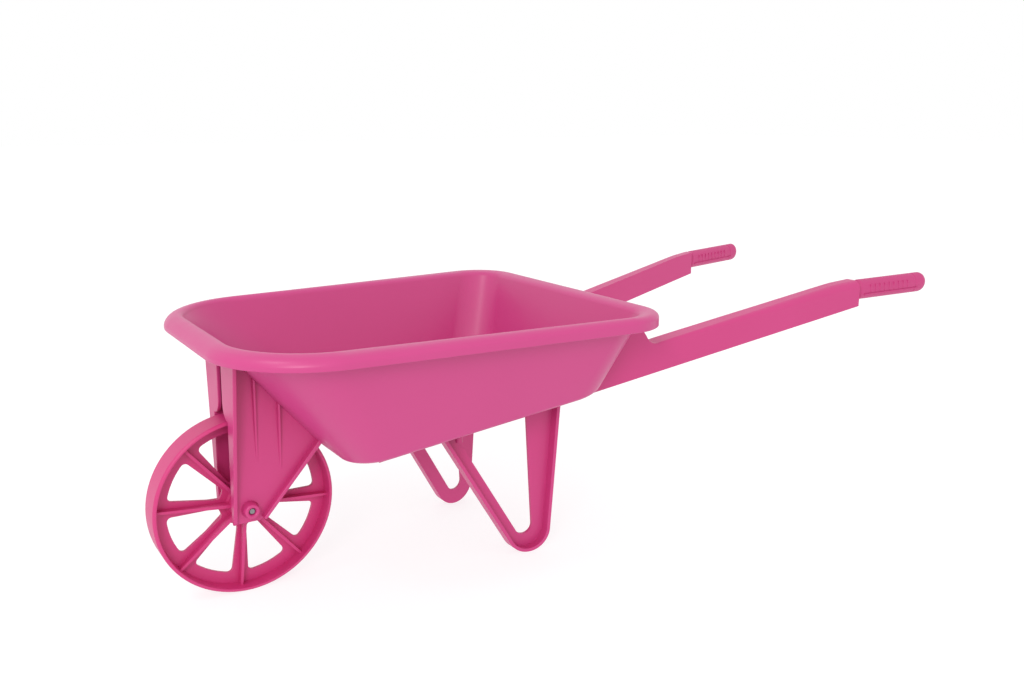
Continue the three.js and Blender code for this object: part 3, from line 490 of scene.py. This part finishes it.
wheel_skin = moulded_pink("wheel_polypropylene", light=(0.585, 0.036, 0.185), deep=(0.540, 0.028, 0.160),
                          gloss=0.42)

tread_radius = 76.4
half_tread = 13.7
band_inner = 73.4
half_web = 1.6
spoke_phase = math.radians(5.3)
spoke_count = 8
window_inner = 20.5
window_outer = 63.2
spoke_half_at_hub = 3.6
spoke_half_at_rim = 7.0


def swung(bm, outline):
    """A ring: a closed outline of (radius, y) points swung once round the axle."""
    points = [bm.verts.new((r, y, 0)) for r, y in outline]
    edges = [bm.edges.new((a, b)) for a, b in zip(points, points[1:] + points[:1])]
    bmesh.ops.spin(bm, geom=points + edges, cent=(0, 0, 0), axis=(0, 1, 0), angle=2 * math.pi,
                   steps=96, use_merge=True)


bm = bmesh.new()
# web: two circles and eight rounded windows, filled between and drawn out to its thickness
loops = [bmesh.ops.create_circle(bm, segments=96, radius=band_inner + 0.6)["verts"],
         bmesh.ops.create_circle(bm, segments=48, radius=9.0)["verts"]]
edges_to_fill = [e for loop in loops for v in loop for e in v.link_edges]
for i in range(spoke_count):
    already = set(bm.verts)
    step = math.pi / spoke_count
    inner_half = step - math.asin(spoke_half_at_hub / window_inner)
    outer_half = step - math.asin(spoke_half_at_rim / window_outer)
    outer_points = [(window_outer, -outer_half + outer_half * k / 3) for k in range(7)]
    corners = [(window_inner, -inner_half), *outer_points, (window_inner, inner_half)]
    window = [bm.verts.new((r * math.cos(a), r * math.sin(a), 0)) for r, a in corners]
    face = bm.faces.new(window)
    bmesh.ops.bevel(bm, geom=[window[1], window[7]], offset=4.2, segments=5, profile=0.5,
                    affect="VERTICES", material=-1)
    bmesh.ops.bevel(bm, geom=[window[0], window[8]], offset=3.0, segments=4, profile=0.5,
                    affect="VERTICES", material=-1)
    made = [v for v in bm.verts if v not in already]
    face = made[0].link_faces[0]
    window_edges = list(face.edges)
    bmesh.ops.delete(bm, geom=[face], context="FACES_ONLY")
    bmesh.ops.rotate(bm, verts=made, cent=(0, 0, 0),
                     matrix=Matrix.Rotation(2 * step * i + step, 3, "Z"))
    edges_to_fill += window_edges
filled = bmesh.ops.triangle_fill(bm, edges=list(set(edges_to_fill)), use_beauty=True)["geom"]
web_faces = [g for g in filled if isinstance(g, bmesh.types.BMFace)]
grown = bmesh.ops.extrude_face_region(bm, geom=web_faces)["geom"]
bmesh.ops.translate(bm, verts=[g for g in grown if isinstance(g, bmesh.types.BMVert)],
                    vec=(0, 0, 2 * half_web))
bmesh.ops.translate(bm, verts=bm.verts, vec=(0, 0, -half_web))
bmesh.ops.rotate(bm, verts=bm.verts, cent=(0, 0, 0),
                 matrix=Matrix.Rotation(spoke_phase, 3, "Y") @ Matrix.Rotation(math.pi / 2, 3, "X"))
# tread band
edge_radius = 2.4
edge_curve = [(edge_radius * math.cos(math.radians(a)) - edge_radius,
               edge_radius * math.sin(math.radians(a)) - edge_radius) for a in range(0, 91, 15)]
far_edge = [(tread_radius + out, half_tread + across) for out, across in edge_curve]
near_edge = [(radius, -y) for radius, y in reversed(far_edge)]
swung(bm, [(band_inner - 0.9, -2.4), (band_inner - 0.1, -half_tread + 0.3), (band_inner + 0.2, -half_tread),
           *near_edge, *far_edge,
           (band_inner + 0.2, half_tread), (band_inner - 0.1, half_tread - 0.3), (band_inner - 0.9, 2.4)])
# hub
swung(bm, [(2.69, -16.3), (11.6, -16.3), (12.4, -15.5), (12.9, -3.4), (14.6, -1.7), (15.0, 0.0),
           (14.6, 1.7), (12.9, 3.4), (12.4, 15.5), (11.6, 16.3), (2.69, 16.3)])
# ribs
for i in range(spoke_count):
    angle = spoke_phase + 2 * math.pi * i / spoke_count
    rib = [Vector((r, y, z)) for r, half, thick in ((11.5, 10.2, 1.5), (band_inner + 0.4, 7.4, 1.1))
           for y in (-half, half) for z in (-thick, thick)]
    turn = Matrix.Rotation(angle, 3, "Y")
    bmesh.ops.convex_hull(bm, input=[bm.verts.new(turn @ p) for p in rib])
bmesh.ops.translate(bm, verts=bm.verts, vec=(0, 0, wheel_centre))
as_piece(bm, "wheel_moulding", "wheel", ["wheel"], wheel_skin, edge=0.5)

# ------------------------------------------------------------------------------------- grips
# Oval grips pushed into the beam ends on a tongue, moulded in the same pink with a duller, grained skin.
# Each has a short neck, a row of low cross ribs on its flanks, a moulding line and a shallow end groove.

grip_skin = moulded_pink("grip_polypropylene", light=(0.540, 0.045, 0.195), deep=(0.500, 0.036, 0.168),
                         gloss=0.5, grain=2.2, waviness=0.5)

grip_tip = 700.5
grip_half_height = 10.3
grip_half_width = 8.2
grip_axis = 219.2
grip_rise = 0.030

for side_name, side in (("right", 1), ("left", -1)):
    bm = bmesh.new()
    length = grip_tip - beam_end - 0.3
    r = grip_half_height
    outline = [(0, 0), (0, r - 2.2), (2.2, r - 2.0), (3.4, r - 0.5), (4.6, r), (length - 19.5, r),
               (length - 19.0, r - 0.1), (length - 18.2, r - 0.75), (length - 17.4, r - 0.75),
               (length - 16.6, r - 0.1), (length - 16.1, r), (length - 8.6, r)]
    outline += [(length - 8.6 + 8.6 * math.sin(a), r * math.cos(a)) for a in
                (math.radians(10 * k) for k in range(1, 9))] + [(length, 0)]
    points = [bm.verts.new((x, 0, z)) for x, z in outline]
    edges = [bm.edges.new(pair) for pair in zip(points, points[1:])]
    bmesh.ops.spin(bm, geom=points + edges, cent=(0, 0, 0), axis=(1, 0, 0), angle=2 * math.pi,
                   steps=48, use_merge=True)
    bmesh.ops.remove_doubles(bm, verts=bm.verts, dist=0.001)
    bmesh.ops.scale(bm, verts=bm.verts, vec=(1, grip_half_width / grip_half_height, 1))
    # low cross ribs on both flanks
    for k in range(9):
        x = 15.0 + 6.2 * k
        for flank in (-1, 1):
            bmesh.ops.create_cube(bm, size=1, matrix=Matrix.Translation(
                (x, flank * (grip_half_width - 0.55), 1.4)) @ Matrix.Diagonal((1.7, 1.9, 8.0, 1)))
    # moulding line low on each flank
    for flank in (-1, 1):
        bmesh.ops.create_cube(bm, size=1, matrix=Matrix.Translation(
            (length / 2 - 4, flank * (grip_half_width - 0.9), -4.6)) @ Matrix.Diagonal(
            (length - 22, 2.5, 1.7, 1)))
    # tongue inside the beam's end
    bmesh.ops.create_cube(bm, size=1, matrix=Matrix.Translation((-12.5, 0, -5.4)) @ Matrix.Diagonal(
        (26, 10.4, 12, 1)))
    for v in bm.verts:
        v.co.z += grip_rise * v.co.x + grip_axis
        v.co.x += beam_end + 0.3
        v.co.y += frame_inner + beam_width / 2 + frame_splay * v.co.x
    as_piece(bm, f"{side_name}_grip_moulding", "barrow",
             [f"{side_name}_grip"], grip_skin, edge=0.45, side=side)

# ---------------------------------------------------------------------------- axle and screws
# The axle is a plain drawn steel rod held by two push-on rings. Pan-head self-tapping screws in zinc
# plate fix the side frames and the fork brackets to the tub.


def bright_steel(name, tone, roughness, marks):
    """Steel with the fine lines that drawing or turning leaves."""
    finish, shader, place = start_finish(name)
    spots = place.node("ShaderNodeTexNoise", {}, {"Vector": place, "Scale": 300.0, "Detail": 3.0})
    lines = place.node("ShaderNodeTexWave", {"wave_type": "RINGS", "rings_direction": "Y"},
                       {"Vector": place, "Scale": 900.0, "Distortion": 1.5, "Detail": 1.0})
    colour = place.node("ShaderNodeMix", {"data_type": "RGBA"},
                        {"Factor": spots, 6: (tone * 0.86, tone * 0.86, tone * 0.88, 1),
                         7: (tone, tone, tone * 1.02, 1)}, output=2)
    rough = (spots - 0.5) * 0.2 + roughness
    relief = place.node("ShaderNodeBump", {}, {"Height": lines * (0.00001 * marks) + spots * 0.00001,
                                               "Strength": 1.0, "Distance": 1.0})
    tree = finish.node_tree
    tree.links.new(colour.socket, shader.inputs["Base Color"])
    tree.links.new(rough.socket, shader.inputs["Roughness"])
    tree.links.new(relief.socket, shader.inputs["Normal"])
    shader.inputs["Metallic"].default_value = 1.0
    return finish


# The axle's steel gets a dark tone (0.30, against 0.70 for the screws). Part of that is the real grey of
# plain drawn steel beside zinc plate, and part is painted shade for the recessed bores of the fork bosses
# it sits in.
axle_steel_painted_shade = bright_steel("drawn_steel_painted_shade", 0.30, 0.42, 1.0)
screw_steel = bright_steel("zinc_plate", 0.70, 0.36, 0.4)
for name, node in nodes.items():
    if name == "axle" or "retainer" in name or "screw" in name:
        node.data.materials.clear()
        node.data.materials.append(axle_steel_painted_shade if name == "axle" else screw_steel)

# --------------------------------------------------------------------------- floor and studio
# A pale floor in a bright, evenly lit studio, with a soft light low on the wheel side and
# a small one above it.

floor_finish, floor_shader, floor_place = start_finish("studio_floor")
mottle = floor_place.node("ShaderNodeTexNoise", {}, {"Vector": floor_place, "Scale": 2.0, "Detail": 2.0})
floor_colour = floor_place.node("ShaderNodeMix", {"data_type": "RGBA"},
                                {"Factor": mottle, 6: (0.23, 0.23, 0.23, 1), 7: (0.25, 0.25, 0.25, 1)},
                                output=2)
floor_finish.node_tree.links.new(floor_colour.socket, floor_shader.inputs["Base Color"])
floor_shader.inputs["Roughness"].default_value = 0.9
floor_shader.inputs["Emission Color"].default_value = (1, 1, 1, 1)
floor_shader.inputs["Emission Strength"].default_value = 0.78
bm = bmesh.new()
bmesh.ops.create_grid(bm, x_segments=1, y_segments=1, size=12.0)
mesh = bpy.data.meshes.new("studio_floor")
bm.to_mesh(mesh)
bm.free()
mesh.materials.append(floor_finish)
studio_floor = bpy.data.objects.new("studio_floor", mesh)
scene.collection.objects.link(studio_floor)
studio_floor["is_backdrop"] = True


def soft_light(name, place, aim, size, power):
    lamp = bpy.data.lights.new(name, "AREA")
    lamp.shape = "DISK"
    lamp.size = size
    lamp.energy = power
    light = bpy.data.objects.new(name, lamp)
    light.location = place
    light.rotation_euler = (Vector(aim) - Vector(place)).to_track_quat("-Z", "Y").to_euler()
    scene.collection.objects.link(light)


soft_light("key_light", (-1.15, -1.15, 0.85), (-0.25, 0, 0.1), 0.55, 7.5)
soft_light("high_light", (-1.3, -0.3, 1.7), (-0.25, 0, 0.15), 0.3, 4.5)

world = bpy.data.worlds.new("studio")
scene.world = world
world.use_nodes = True
world.node_tree.nodes["Background"].inputs["Color"].default_value = (1, 1, 1, 1)
world.node_tree.nodes["Background"].inputs["Strength"].default_value = 1.0

scene.view_settings.view_transform = "Standard"

lens = bpy.data.cameras.new("camera")
lens.lens = 35.05
lens.sensor_width = 36.0
lens.clip_start = 0.05
lens.clip_end = 50.0
camera = bpy.data.objects.new("camera", lens)
camera.location = drawn_to_frame @ Vector((-231.5, -792.4, 398.1))
camera.rotation_euler = (math.pi / 2 - 0.2268, 0, -0.5651)
scene.collection.objects.link(camera)
scene.camera = camera

low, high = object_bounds()
